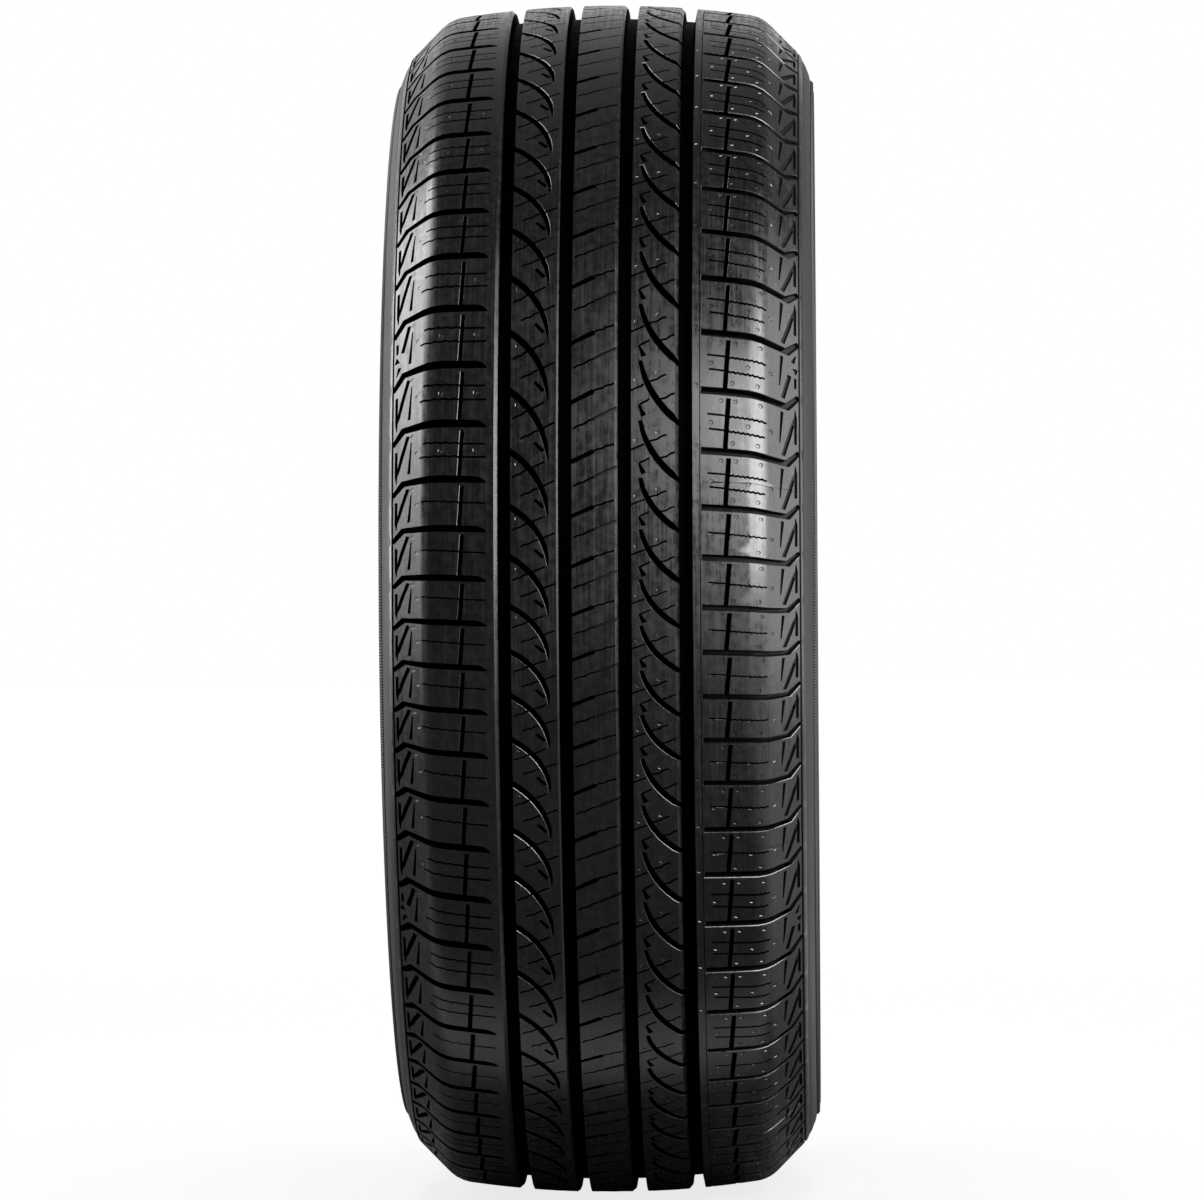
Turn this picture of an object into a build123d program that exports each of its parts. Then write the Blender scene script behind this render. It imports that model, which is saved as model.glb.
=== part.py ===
from build123d import *
import math
import os

# Overall sizes, in millimetres. The tyre stands upright and turns about Y, with its centre at the origin.
OUTER_DIAMETER = 716.0
SECTION_WIDTH = 249.0
BEAD_SEAT_DIAMETER = 462.0
RIM_WIDTH = 190.5

# Tread cap, seen across the tyre
TREAD_WIDTH = 188.0
CROWN_RADIUS = 430.0
SHOULDER_WIDTH = 22.0
SHOULDER_DROP = 22.0
TREAD_THICKNESS = 17.0

# Casing, from the widest part of the sidewall to the bead
WIDEST_PLACE = 0.46
WIDEST_BAND = 26.0
SIDEWALL_THICKNESS = 12.0
LINER_FLAT_WIDTH = 168.0
BEAD_BASE_WIDTH = 18.0

# Four main grooves run round the tread
INNER_GROOVE_CENTRE = 16.8
OUTER_GROOVE_CENTRE = 51.2
GROOVE_WIDTH = 8.0
GROOVE_FLOOR_WIDTH = 5.0
GROOVE_DEPTH = 8.0

# The shoulder pattern repeats round the tyre in four pitch lengths, shuffled so that it hums less on the road
PITCH_SEQUENCE = "DDDDCCCDDDCBBAAAABBCCCCBBBBCCDDCCBBAABBCCDDCBBAABBCCDDCCBBAAABBCCCBBAACCC"
PITCH_LENGTHS = {"A": 0.77, "B": 0.865, "C": 1.0, "D": 1.10}
FIRST_PITCH_ANGLE = -72.65
RIGHT_SIDE_OFFSET = 0.56

# Lateral grooves part each shoulder into blocks
LATERAL_WIDTH = 3.6
LATERAL_GAP = 5.3
LATERAL_START_DEPTH = 4.5
LATERAL_RUNOUT = 14.0

# The tread is pressed flat by this much where the tyre stands on the floor
FLAT_SPOT = 1.9

outer_radius = OUTER_DIAMETER / 2
seat_radius = BEAD_SEAT_DIAMETER / 2
widest_radius = seat_radius + WIDEST_PLACE * (outer_radius - seat_radius)
middle_rib_half_width = INNER_GROOVE_CENTRE - GROOVE_WIDTH / 2
shoulder_corner = TREAD_WIDTH / 2


def crown_height(across):
    """Radius of the tread face at a distance from the middle: flat over the middle rib, then curving down."""
    beyond = max(across - middle_rib_half_width, 0)
    return outer_radius - CROWN_RADIUS + math.sqrt(CROWN_RADIUS**2 - beyond**2)


def shoulder_height(across):
    """Radius of the sloping shoulder at a distance from the middle."""
    return crown_height(shoulder_corner) - (across - shoulder_corner) * SHOULDER_DROP / SHOULDER_WIDTH


def groove_corners(centre, near_radius, far_radius):
    """Section of one main groove, between the ribs on its two sides."""
    floor = crown_height(centre) - GROOVE_DEPTH
    return [
        (centre - GROOVE_WIDTH / 2, near_radius),
        (centre - GROOVE_FLOOR_WIDTH / 2, floor),
        (centre + GROOVE_FLOOR_WIDTH / 2, floor),
        (centre + GROOVE_WIDTH / 2, far_radius),
    ]


def half_section():
    """Corners of the section's right half: tread, shoulder, sidewall and bead outside, then the liner inside."""
    second_rib = crown_height((INNER_GROOVE_CENTRE + OUTER_GROOVE_CENTRE) / 2)
    shoulder_rib = crown_height(OUTER_GROOVE_CENTRE + GROOVE_WIDTH / 2)
    tread_edge = shoulder_corner + SHOULDER_WIDTH
    wall = SECTION_WIDTH / 2
    liner = wall - SIDEWALL_THICKNESS
    band_top = widest_radius + WIDEST_BAND / 2
    band_foot = widest_radius - WIDEST_BAND / 2
    heel = RIM_WIDTH / 2

    corners = groove_corners(INNER_GROOVE_CENTRE, outer_radius, second_rib)
    corners += groove_corners(OUTER_GROOVE_CENTRE, second_rib, shoulder_rib)
    corners += [(shoulder_corner, crown_height(shoulder_corner)), (tread_edge, shoulder_height(tread_edge))]
    corners += [(wall, band_top), (wall, band_foot)]
    corners += [(heel, seat_radius), (heel - BEAD_BASE_WIDTH, seat_radius)]
    corners += [(liner, band_foot), (liner, band_top)]
    corners += [(LINER_FLAT_WIDTH / 2, outer_radius - TREAD_THICKNESS)]
    return corners


def casing():
    """The tyre before its shoulders are grooved: the section turned about Y."""
    right = half_section()
    left = [(-across, radius) for across, radius in reversed(right)]
    return revolve(Plane.YZ * make_face(Polyline(*right, *left, close=True)), axis=Axis.Y)


def lateral_groove():
    """Cutter for one groove of the right shoulder, at the front of the tyre, deepest at the shoulder's corner."""
    start = OUTER_GROOVE_CENTRE + GROOVE_WIDTH / 2 + LATERAL_GAP
    end = shoulder_corner + LATERAL_RUNOUT
    outside = outer_radius + GROOVE_DEPTH
    outline = Polyline(
        (start, outside),
        (start, crown_height(start) - LATERAL_START_DEPTH),
        (end, shoulder_height(end)),
        (end, outside),
        close=True,
    )
    arc = math.degrees(LATERAL_WIDTH / outer_radius)
    cutter = revolve(Plane.YZ * make_face(outline), axis=Axis.Y, revolution_arc=arc)
    return cutter.rotate(Axis.Y, 90 - arc / 2)


def shoulder_cutters():
    """Every lateral groove, pitch by pitch: the right shoulder is turned about half a pitch behind the left."""
    total = sum(PITCH_LENGTHS[size] for size in PITCH_SEQUENCE)
    right_turn = RIGHT_SIDE_OFFSET * 360 / len(PITCH_SEQUENCE)
    right_groove = lateral_groove()
    left_groove = mirror(right_groove, about=Plane.XZ)
    cutters = []
    start = FIRST_PITCH_ANGLE
    for size in PITCH_SEQUENCE:
        cutters.append(left_groove.rotate(Axis.Y, start))
        cutters.append(right_groove.rotate(Axis.Y, start + right_turn))
        start += 360 * PITCH_LENGTHS[size] / total
    return cutters


def floor_block():
    """What lies below the flat spot that the tyre stands on."""
    block = Box(OUTER_DIAMETER, SECTION_WIDTH, OUTER_DIAMETER, align=(Align.CENTER, Align.CENTER, Align.MAX))
    return Pos(0, 0, FLAT_SPOT - outer_radius) * block


tyre = casing() - shoulder_cutters() - floor_block()

os.makedirs("parts", exist_ok=True)
export_step(tyre, "parts/tyre.step")
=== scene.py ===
"""The looks of a rubber car tyre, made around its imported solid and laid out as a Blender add-on."""

import math
from collections import namedtuple

import bpy
import numpy as np
from mathutils import Matrix, Vector
from mathutils.geometry import delaunay_2d_cdt


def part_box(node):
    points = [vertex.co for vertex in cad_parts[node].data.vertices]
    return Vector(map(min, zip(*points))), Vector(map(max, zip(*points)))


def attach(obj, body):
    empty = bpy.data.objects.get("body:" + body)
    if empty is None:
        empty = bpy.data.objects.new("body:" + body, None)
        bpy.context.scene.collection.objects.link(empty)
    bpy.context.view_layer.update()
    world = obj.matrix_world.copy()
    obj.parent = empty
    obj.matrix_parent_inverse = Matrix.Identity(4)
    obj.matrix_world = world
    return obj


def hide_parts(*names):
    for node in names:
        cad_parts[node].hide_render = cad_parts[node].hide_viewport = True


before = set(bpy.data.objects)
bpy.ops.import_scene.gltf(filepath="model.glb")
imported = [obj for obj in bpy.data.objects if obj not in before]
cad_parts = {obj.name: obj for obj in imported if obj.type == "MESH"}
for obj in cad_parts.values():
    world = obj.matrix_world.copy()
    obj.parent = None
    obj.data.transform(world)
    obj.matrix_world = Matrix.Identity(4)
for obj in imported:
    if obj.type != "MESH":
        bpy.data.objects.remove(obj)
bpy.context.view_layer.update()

bl_info = {
    "name": "Car tyre",
    "version": (1, 0, 0),
    "blender": (4, 5, 0),
    "location": "View3D > Sidebar > Tyre",
    "description": "Builds an all-season car tyre with a moulded tread, and the studio that it stands in",
    "category": "Object",
}

TYRE_NODE = "tyre"
LOW_CORNER, HIGH_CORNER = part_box(TYRE_NODE)

# The tyre is drawn in millimetres and degrees. Across runs from left to right, along runs down its front.
MM = 0.001
FULL_TURN = 360.0

# Distances that count as none: between points to merge, from a line, and from a face or the end of a line.
# Then the least square of a length to divide by, and the least cosine by which a corner's mitre is divided.
MERGE_DISTANCE = 1e-5
LINE_DISTANCE = 1e-4
FACE_DISTANCE = 1e-3
LEAST_SQUARE = 1e-12
MITRE_LIMIT = 0.5

# Pitches round the tread. The pattern is drawn on a pitch about as long as the longest, and each pitch takes
# its own length from the sequence. The right shoulder starts a share of a pitch behind the left. Rings round
# the tyre have a few steps to a pitch.
PITCH = 36.0
PITCH_SEQUENCE = "DDDDCCCDDDCBBAAAABBCCCCBBBBCCDDCCBBAABBCCDDCBBAABBCCDDCCBBAAABBCCCBBAACCC"
PITCH_LENGTHS = {"A": 0.77, "B": 0.865, "C": 1.0, "D": 1.10}
SHORT_PITCHES = "AB"
FIRST_PITCH_ANGLE = -72.65
RIGHT_SIDE_OFFSET = 0.56
RIGHT_SIDE_ALONG = RIGHT_SIDE_OFFSET * PITCH
RING_STEPS = 3

# Pitches with a mould joint line and with a marked flank, counted round the tyre
JOINT_PITCHES = range(2, len(PITCH_SEQUENCE), 8)
MARKED_PITCHES = range(8, len(PITCH_SEQUENCE), 12)

# Main grooves: centre across the tyre, and width of the bevel on their left side
MAIN_GROOVES = [(-51.2, 1.9), (-16.8, 1.0), (16.8, 1.8), (51.2, 2.2)]
MAIN_GROOVE_HALF_WIDTH = 3.8
BEVEL_SLOPE = 1.0

# How far a cut round the tyre is drawn past the start of a pitch, in pitches
PITCHES_BEFORE, PITCHES_AFTER = 3, 4

# Height of a sipe's waves, and how near they come to its ends
WAVE_HEIGHT = 0.34
WAVE_END = 0.5

# The five ribs from left to right: where each starts in the sequence and how far it is turned, in shares of
# a pitch
RIB_STARTS = [0.0, 0.35, 0.3, 0.1, RIGHT_SIDE_OFFSET]
RIB_TURNS = [0.0, 0.403, 0.344, 0.213, RIGHT_SIDE_OFFSET]

# Section of the tread face, and the place along its edges where one pitch meets the next
CROWN_RADIUS = 590.0
SHOULDER_START = 86.0
SHOULDER_RADIUS = 22.0
FLANK_SLOPE = math.radians(45.5)
FLANK_END = 116.2
EDGE_SLOPE = math.radians(68.0)
TREAD_EDGE = 117.6
TREAD_EDGE_ALONG = 10.0

# Casing outside the tread: distance across and radius, down the sidewall to the bead, then up the liner
OUTER_WALL = [
    (118.4, 322.4), (119.5, 320.2), (120.0, 318.7), (121.3, 315.6), (121.9, 312.8), (122.0, 312.0),
    (124.0, 309.6), (124.2, 300.0), (124.0, 286.0), (123.3, 274.4), (121.9, 268.4), (121.3, 267.9),
    (117.2, 260.2), (116.4, 259.9), (109.6, 253.6), (108.7, 252.4), (103.6, 248.6),
    (97.8, 241.2), (96.2, 236.6), (95.25, 233.2), (92.8, 231.0),
]
BEAD_AND_LINER = [
    (80.0, 231.0), (77.6, 232.4), (92.0, 255.4), (107.8, 277.6), (112.0, 300.0), (101.5, 325.6),
    (74.0, 339.6),
]

# Angle between two faces from which their edge is sharp
SHARP_ANGLE = 28.0

# Relief moulded on each sidewall, from the tread's edge to the rim: outer and inner radius of each band, its
# ribs in a whole turn, the height of the ribs and of the valleys between them, and the arcs that it fills
ReliefBand = namedtuple("ReliefBand", "outer inner ribs ridge valley arcs")
ALL_ROUND = [(0.0, FULL_TURN)]
TOP_AND_FOOT = [(40.0, 140.0), (220.0, 320.0)]
RELIEF_BANDS = [
    ReliefBand(311.8, 309.8, 1168, 0.42, 0.03, ALL_ROUND),
    ReliefBand(305.0, 303.4, 219, 0.28, 0.28, ALL_ROUND),
    ReliefBand(297.0, 295.6, 219, 0.28, 0.28, ALL_ROUND),
    ReliefBand(288.4, 281.6, 600, 0.36, 0.03, TOP_AND_FOOT),
    ReliefBand(275.0, 273.6, 219, 0.30, 0.30, ALL_ROUND),
    ReliefBand(267.3, 260.8, 600, 0.45, 0.03, ALL_ROUND),
]

# Width of the slope on each side of a band, and how far its foot lies below the sidewall's face
RELIEF_EASE = 0.4
RELIEF_SINK = 0.5

# Finishes of the tyre, in the order of its materials. The two groove finishes are painted shade: near-black
# copies of the rubber that stand in for the shade down in the cuts.
TREAD, SIDEWALL, LINER, GROOVE_SHADE, SHALLOW_GROOVE_SHADE = range(5)
SIDEWALL_RUBBER = "sidewall_rubber"

# Grain of each rubber: how many grains, mottles and patches of bloom it has to the metre
TREAD_GRAIN = {"Grain Scale": 1100.0, "Mottle Scale": 210.0, "Bloom Scale": 11.0}
SIDEWALL_GRAIN = {"Grain Scale": 1400.0, "Mottle Scale": 90.0, "Bloom Scale": 6.0}
LINER_GRAIN = {"Grain Scale": 700.0, "Mottle Scale": 60.0, "Bloom Scale": 7.0}

# Values of the noise over which each effect comes up, and how far the streaks are drawn out round the tyre
STREAK_SPAN = (0.4, 0.65)
MOTTLE_SPAN = (0.35, 0.68)
BLOOM_SPAN = (0.38, 0.66)
SPECK_SPAN = (0.62, 0.72)
STREAK_STRETCH = (0.03, 1.0, 0.03)

# Roughness: what bloom, mottling and streaks add to the tread's and bloom to the sidewall's, and the range
# that mottling gives the grooves and the liner
TREAD_BLOOM_ROUGHNESS = (-0.02, 0.03)
TREAD_MOTTLE_ROUGHNESS = (-0.03, 0.07)
TREAD_STREAK_ROUGHNESS = 0.1
SIDEWALL_BLOOM_ROUGHNESS = (-0.05, 0.08)
GROOVE_ROUGHNESS = (0.5, 0.65)
LINER_ROUGHNESS = (0.58, 0.72)

# Bumps: the height in metres that each spans, and its strength
MOULD_LINE_BUMP = (0.0001, 0.2)
MOTTLE_BUMP = (0.00006, 0.2)
TREAD_GRAIN_BUMP = (0.00005, 0.3)
SIDEWALL_GRAIN_BUMP = (0.00004, 0.3)
LINER_GRAIN_BUMP = (0.00008, 0.4)
BLADDER_BUMP = (0.0003, 0.6)

# The line that the mould's halves leave: its place across, and half widths of its top and foot, in metres
MOULD_LINE_PLACE = -0.0006
MOULD_LINE_SPAN = (0.0001, 0.0005)

# Slanted lines in the liner: how many round the tyre, how many places they lean by over a metre of radius,
# and the radii and the soft edge of the band that they fill, in metres
BLADDER_LINES = 300.0
BLADDER_LEAN = 420.0
BLADDER_BAND = (0.235, 0.3385)
BLADDER_SOFT_EDGE = 0.004

# Lamps: place, the point that each is aimed at, width and height, in metres, and whether it is a highlight
# panel
Softbox = namedtuple("Softbox", "name place aim width height highlight")
KEY_PANEL = Softbox("key_panel", (1.56, 1.40, 0.88), (0.33, 0.05, 0.0), 2.05, 1.70, True)
LEFT_PANEL = Softbox("left_panel", (-0.38, -2.0, 0.85), (0.25, -0.1, 0.0), 1.1, 2.2, True)
RIGHT_PANEL = Softbox("right_panel", (0.15, 2.0, 0.45), (0.25, 0.1, 0.0), 1.5, 1.6, True)
TOP_SOFTBOX = Softbox("top_softbox", (0.1, 0.0, 2.4), (0.0, 0.0, 0.2), 2.0, 2.0, False)

# Floor: distances in metres over which it turns white in the tyre's reflections, far behind the axle, to its
# right and in a strip before the foot of the tread, and its glow from far behind to near
FLOOR_SIDES = 96
FLOOR_ROUGHNESS = 0.9
FLOOR_BEHIND = (-6.0, -1.5)
FLOOR_RIGHT = (0.2, 0.5)
FOOT_STRIP_START = (0.19, 0.23)
FOOT_STRIP_END = (0.24, 0.31)
FOOT_STRIP_WHITE = 0.9
FLOOR_GLOW_SPAN = (-4.0, -0.6)
FLOOR_GLOW = (0.885, 0.8)

# Room: directions over which it turns white in reflections, backwards, and dims again to the right and up
ROOM_BEHIND = (-0.6, -0.1)
ROOM_RIGHT = (0.05, 0.35)
ROOM_UP = (0.3, 0.75)
ROOM_DIM = 0.25

# Camera: its place in metres, the directions that it looks along and holds upright, and its width of sensor
CAMERA_PLACE = (4.906, 0.1292, -0.0007)
CAMERA_FORWARD = (-0.99962, -0.02758, 0.0)
CAMERA_UP = (-0.0002, 0.0068, 0.99998)
CAMERA_SENSOR = 36.0

# Shared by the lamps, the floor and the shaders
WHITE = (1.0, 1.0, 1.0, 1.0)
UP = (0.0, 0.0, 1.0)
RISING = (0.0, 1.0)
FALLING = (1.0, 0.0)

# What properties of a kind have in common
COLOUR = {"subtype": "COLOR", "min": 0.0, "max": 1.0}
SHARE = {"subtype": "FACTOR", "min": 0.0, "max": 1.0}
LENGTH = {"unit": "LENGTH", "min": 0.0, "precision": 5}
POWER = {"unit": "POWER", "min": 0.0}


class TreadSizes(bpy.types.PropertyGroup):
    """Depths of the cuts and vent marks in the tread, and the width of the thinnest."""

    main_groove_depth: bpy.props.FloatProperty(
        name="Main grooves", description="Depth of the grooves round the tyre", default=8.0 * MM, **LENGTH
    )
    lateral_groove_depth: bpy.props.FloatProperty(
        name="Lateral grooves", description="Depth of the shoulder grooves", default=6.0 * MM, **LENGTH
    )
    crescent_depth: bpy.props.FloatProperty(
        name="Crescents", description="Depth of the curved grooves of the ribs", default=6.0 * MM, **LENGTH
    )
    block_slit_depth: bpy.props.FloatProperty(
        name="Block slits", description="Depth of the slits in the blocks", default=5.0 * MM, **LENGTH
    )
    short_slit_depth: bpy.props.FloatProperty(
        name="Short slits", description="Depth of barbs and rib slits", default=3.0 * MM, **LENGTH
    )
    shallow_slit_depth: bpy.props.FloatProperty(
        name="Shallow slits", description="Depth of the shallow rib slits", default=1.5 * MM, **LENGTH
    )
    flank_slit_depth: bpy.props.FloatProperty(
        name="Flank slits", description="Depth of the slits moulded on the flanks", default=1.3 * MM, **LENGTH
    )
    sipe_depth: bpy.props.FloatProperty(
        name="Sipe depth", description="Depth of the thin wavy cuts", default=4.0 * MM, **LENGTH
    )
    sipe_width: bpy.props.FloatProperty(
        name="Sipe width", description="Width of the thin wavy cuts", default=1.24 * MM, **LENGTH
    )
    vent_ring_depth: bpy.props.FloatProperty(
        name="Vent rings", description="Depth of the ring round each vent mark", default=0.4 * MM, **LENGTH
    )


class TyreLooks(bpy.types.PropertyGroup):
    """Colours and finish of the rubber, and the painted shade in its grooves."""

    tread_colour: bpy.props.FloatVectorProperty(
        name="Tread", description="Colour of the tread's ribs", default=(0.008, 0.008, 0.0083), **COLOUR
    )
    bloom_colour: bpy.props.FloatVectorProperty(
        name="Bloom", description="Paler mottling on the rubber", default=(0.017, 0.017, 0.0175), **COLOUR
    )
    speck_colour: bpy.props.FloatVectorProperty(
        name="Specks", description="Fine pale specks on the tread", default=(0.06, 0.06, 0.06), **COLOUR
    )
    # Painted shade: the near-black colour of the groove finishes, which stands in for the shade down in the
    # cuts.
    groove_shade_colour: bpy.props.FloatVectorProperty(
        name="Grooves", description="Colour down in the grooves", default=(0.0007, 0.0007, 0.0007), **COLOUR
    )
    sidewall_colour: bpy.props.FloatVectorProperty(
        name="Sidewall", description="Colour of the sidewalls", default=(0.014, 0.014, 0.0145), **COLOUR
    )
    tread_roughness: bpy.props.FloatProperty(
        name="Tread roughness", description="How dull the tread is", default=0.25, **SHARE
    )
    sidewall_roughness: bpy.props.FloatProperty(
        name="Sidewall roughness", description="How dull the sidewalls are", default=0.55, **SHARE
    )
    specular: bpy.props.FloatProperty(
        name="Gloss", description="Strength of the rubber's reflections", default=0.5, **SHARE
    )
    # Painted shade: the weak reflections of the deep grooves' near-black finish.
    groove_shade_specular: bpy.props.FloatProperty(
        name="Groove gloss", description="Strength of the reflections in the grooves", default=0.005, **SHARE
    )
    # Painted shade: the reflections of the lighter grey groove finish in shallow cuts and on the right, where
    # the key light falls.
    shallow_shade_specular: bpy.props.FloatProperty(
        name="Shallow gloss", description="Strength of the reflections in shallow cuts", default=0.14, **SHARE
    )
    sidewall_specular: bpy.props.FloatProperty(
        name="Sidewall gloss", description="Strength of the sidewalls' reflections", default=0.38, **SHARE
    )


class StudioSettings(bpy.types.PropertyGroup):
    """The floor, the lamps and the camera."""

    floor_colour: bpy.props.FloatVectorProperty(
        name="Floor", description="Colour of the floor", default=(0.86, 0.86, 0.86), **COLOUR
    )
    floor_radius: bpy.props.FloatProperty(
        name="Floor radius", description="How far the floor reaches", default=30.0, **LENGTH
    )
    room_light: bpy.props.FloatProperty(
        name="Room light", description="Strength of the light from all round", default=0.14, min=0.0
    )
    focal_length: bpy.props.FloatProperty(
        name="Lens", description="Focal length in millimetres", default=242.8, min=1.0, unit="CAMERA"
    )
    key_power: bpy.props.FloatProperty(
        name="Key panel", description="Highlight from the upper right", default=192.0, **POWER
    )
    left_power: bpy.props.FloatProperty(
        name="Left panel", description="Highlight from the left", default=70.0, **POWER
    )
    right_power: bpy.props.FloatProperty(
        name="Right panel", description="Highlight from the right", default=28.0, **POWER
    )
    top_power: bpy.props.FloatProperty(
        name="Top", description="Soft light from above", default=10.0, **POWER
    )


def millimetres(length):
    """A length property in millimetres, rounded to the micron because properties hold about seven digits."""
    return round(length / MM, 3)


def segment_distance(points, starts, ends):
    """Distance from each point to each segment, and how far along the segment its nearest place is."""
    runs = ends - starts
    squares = np.maximum((runs**2).sum(axis=1), LEAST_SQUARE)
    offsets = points[:, None, :] - starts[None, :, :]
    shares = np.clip((offsets * runs).sum(axis=2) / squares, 0.0, 1.0)
    gaps = offsets - shares[:, :, None] * runs
    return np.sqrt((gaps**2).sum(axis=2)), shares


def inside_distance(points, outline):
    """Whether each point is inside a closed outline, and its distance from it."""
    starts, ends = outline, np.roll(outline, -1, axis=0)
    distance = segment_distance(points, starts, ends)[0].min(axis=1)
    x, y = points[:, 0:1], points[:, 1:2]
    spans = (starts[:, 1] > y) != (ends[:, 1] > y)
    rise = np.where(ends[:, 1] == starts[:, 1], 1.0, ends[:, 1] - starts[:, 1])
    crossing = starts[:, 0] + (y - starts[:, 1]) * (ends[:, 0] - starts[:, 0]) / rise
    inside = (spans & (x < crossing)).sum(axis=1) % 2 == 1
    return inside, distance


def share_along(points, line, shares):
    """The share of full depth at the place on the line nearest to each point."""
    distance, places = segment_distance(points, line[:-1], line[1:])
    nearest = distance.argmin(axis=1)
    place = places[np.arange(len(points)), nearest]
    return shares[nearest] + (shares[nearest + 1] - shares[nearest]) * place


def stroke_sides(line, halves):
    """The two sides of a stroke along a line, mitred at its corners."""
    steps = np.diff(line, axis=0)
    units = steps / np.linalg.norm(steps, axis=1)[:, None]
    before = np.vstack([units[:1], units])
    after = np.vstack([units, units[-1:]])
    along = before + after
    along /= np.linalg.norm(along, axis=1)[:, None]
    mitre = 1.0 / np.maximum((along * after).sum(axis=1), MITRE_LIMIT)
    reach = np.column_stack([-along[:, 1], along[:, 0]]) * (halves * mitre)[:, None]
    return line + reach, line - reach


def arc(centre, radius, first, last, count):
    """Points on an arc, with its angles in degrees."""
    turns = np.radians(np.linspace(first, last, count))
    return np.array(centre) + radius * np.column_stack([np.cos(turns), np.sin(turns)])


def walls(run, depth, eased=0.0):
    """Profile of a cut whose walls reach its depth at a run in from its edge. An eased edge slopes at 45
    degrees."""
    ease = [(eased, eased)] if eased else []
    return [(0.0, 0.0)] + ease + [(run, depth)]


class Cut:
    """A groove, slit or sipe of the tread: a stroke along a line, with a half width and a share of its depth
    at each point. The profile gives how deep it is at each distance in from its edge."""

    # Samples that find where an inset outline fits, and twice the place along that mirrored cuts turn about
    SAMPLES = 400
    TURN_PLACE = 37.6

    def __init__(self, line, halves, profile, shares=1.0):
        self.line = np.array(line, float)
        count = len(self.line)
        self.halves = np.broadcast_to(np.asarray(halves, float), (count,)).copy()
        self.shares = np.broadcast_to(np.asarray(shares, float), (count,)).copy()
        self.profile = np.array(profile, float)

    def moved(self, along):
        """The same cut further along the tread."""
        return Cut(self.line + (0.0, along), self.halves, self.profile, self.shares)

    def mirrored(self):
        """The same cut turned half round, on the other side of the tread."""
        return Cut((0.0, self.TURN_PLACE) - self.line, self.halves, self.profile, self.shares)

    def ring(self, inset):
        """Its outline this far in from the edge, and whether the outline is closed."""
        steps = np.linalg.norm(np.diff(self.line, axis=0), axis=1)
        lengths = np.concatenate([[0.0], np.cumsum(steps)])
        fine = np.linspace(inset, lengths[-1] - inset, self.SAMPLES)
        fits = fine[np.interp(fine, lengths, self.halves) - inset > -MERGE_DISTANCE]
        first, last = fits[0], fits[-1]
        between = lengths[(lengths > first + FACE_DISTANCE) & (lengths < last - FACE_DISTANCE)]
        places = np.concatenate([[first], between, [last]])
        line = np.column_stack([np.interp(places, lengths, self.line[:, axis]) for axis in (0, 1)])
        halves = np.interp(places, lengths, self.halves) - inset
        if halves.max() < LINE_DISTANCE:
            return line, False
        left, right = stroke_sides(line, halves)
        return np.vstack([left, right[::-1]]), True

    def rings(self):
        """The lines of its edge, the breaks in its walls and the foot of its walls."""
        return [self.ring(inset) for inset in self.profile[:, 0]]

    def depth(self, points):
        """How deep it is at each point, 0 outside it."""
        outline, _ = self.ring(0.0)
        inside, distance = inside_distance(points, outline)
        depths = np.interp(np.where(inside, distance, 0.0), self.profile[:, 0], self.profile[:, 1])
        return depths * share_along(points, self.line, self.shares)


class Bevel(Cut):
    """The sloped band along the edges of a groove. The groove's own edge is the foot of the slope."""

    def rings(self):
        """Its edge alone."""
        return [self.ring(0.0)]


class VentMark:
    """A small round mark that a mould vent leaves on the tread: a low dome in a narrow ring."""

    SIDES = 5
    RADIUS = 1.5
    RING_RADIUS = 1.0
    HEIGHT = 0.1

    def __init__(self, across, along, ring_depth):
        self.centre = np.array([across, along], float)
        self.ring_depth = ring_depth

    def moved(self, along):
        """The same mark further along the tread."""
        return VentMark(self.centre[0], self.centre[1] + along, self.ring_depth)

    def circle(self, radius):
        """A ring of points round its centre."""
        turns = np.arange(self.SIDES) * 2 * math.pi / self.SIDES
        return self.centre + radius * np.column_stack([np.cos(turns), np.sin(turns)])

    def rings(self):
        """The lines of its edge, its ring and its middle."""
        circles = [(self.circle(radius), True) for radius in (self.RADIUS, self.RING_RADIUS)]
        return circles + [(self.centre[None, :], False)]

    def height(self, points):
        """How far it stands proud at each point, below 0 in its ring."""
        away = np.linalg.norm(points - self.centre, axis=1)
        places = (0.0, self.RING_RADIUS, self.RADIUS - LINE_DISTANCE)
        return np.interp(away, places, (self.HEIGHT, -self.ring_depth, 0.0))

    def holds(self, points):
        """Whether each point is on its dome."""
        return np.linalg.norm(points - self.centre, axis=-1) < self.RING_RADIUS + FACE_DISTANCE


def round_the_tyre(across, half_width, profile, kind=Cut):
    """A cut that runs right round the tyre, past both ends of a pitch and its neighbours."""
    steps = np.arange(-PITCHES_BEFORE * RING_STEPS, PITCHES_AFTER * RING_STEPS + 1)
    places = steps * PITCH / RING_STEPS
    return kind([(across, along) for along in places], half_width, profile)


def wavy_line(start, end, half_wave, wavy):
    """A line between two points. Given half a wavelength, it zigzags between two shares of its length."""
    start, end = np.array(start, float), np.array(end, float)
    length = np.linalg.norm(end - start)
    run = (end - start) / length
    places, sway = np.array([0.0, length]), np.zeros(2)
    if half_wave:
        first, last = wavy[0] * length, wavy[1] * length
        inner = np.linspace(first, last, max(int(round((last - first) / half_wave)), 2) + 1)
        inner = inner[(inner > WAVE_END) & (inner < length - WAVE_END)]
        places = np.concatenate([[0.0], inner, [length]])
        waves = WAVE_HEIGHT * np.where(np.arange(len(inner)) % 2, 1.0, -1.0)
        sway = np.concatenate([[0.0], waves, [0.0]])
    return start + places[:, None] * run + sway[:, None] * (-run[1], run[0])


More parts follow.
